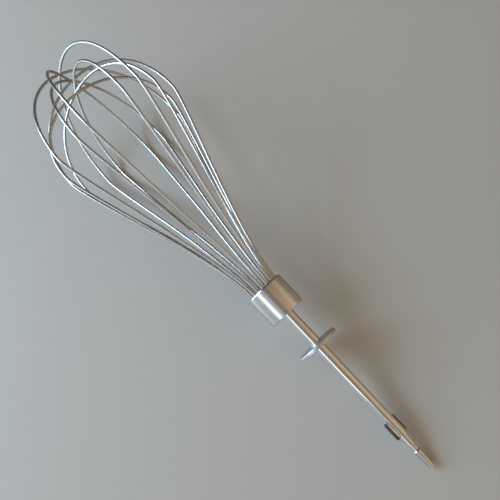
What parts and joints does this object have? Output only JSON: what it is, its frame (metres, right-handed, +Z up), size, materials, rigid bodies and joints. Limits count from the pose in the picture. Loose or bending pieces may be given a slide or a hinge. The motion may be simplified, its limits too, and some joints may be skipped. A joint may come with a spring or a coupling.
{
  "type": "hand mixer whisk",
  "caption": "Balloon whisk attachment for a hand mixer: nested steel wire loops held in a crimped ferrule, on a round drive shaft with a stop disc, pressed drive ears and a latching tip.",
  "frame": {"origin": "centre of the whisk's footprint, on the table that it lies on", "axes": "+X along the table towards the drive tip, +Z up; the shaft points along +X and slopes down to its tip"},
  "size_m": [0.2818, 0.0768, 0.0792],
  "materials": {
    "shaft": "polished",
    "disc": "satin",
    "ferrule": "polished",
    "holder": "satin",
    "wire": "polished"
  },
  "bodies": {
    "root": {"shaft": "shaft", "stop_disc": "disc", "ferrule": "ferrule", "wire_holder": "holder", "wire_loop_1": "wire", "wire_loop_2": "wire", "wire_loop_3": "wire", "wire_loop_4": "wire", "wire_loop_5": "wire", "wire_loop_6": "wire", "wire_loop_7": "wire", "wire_loop_8": "wire"}
  },
  "joints": []
}
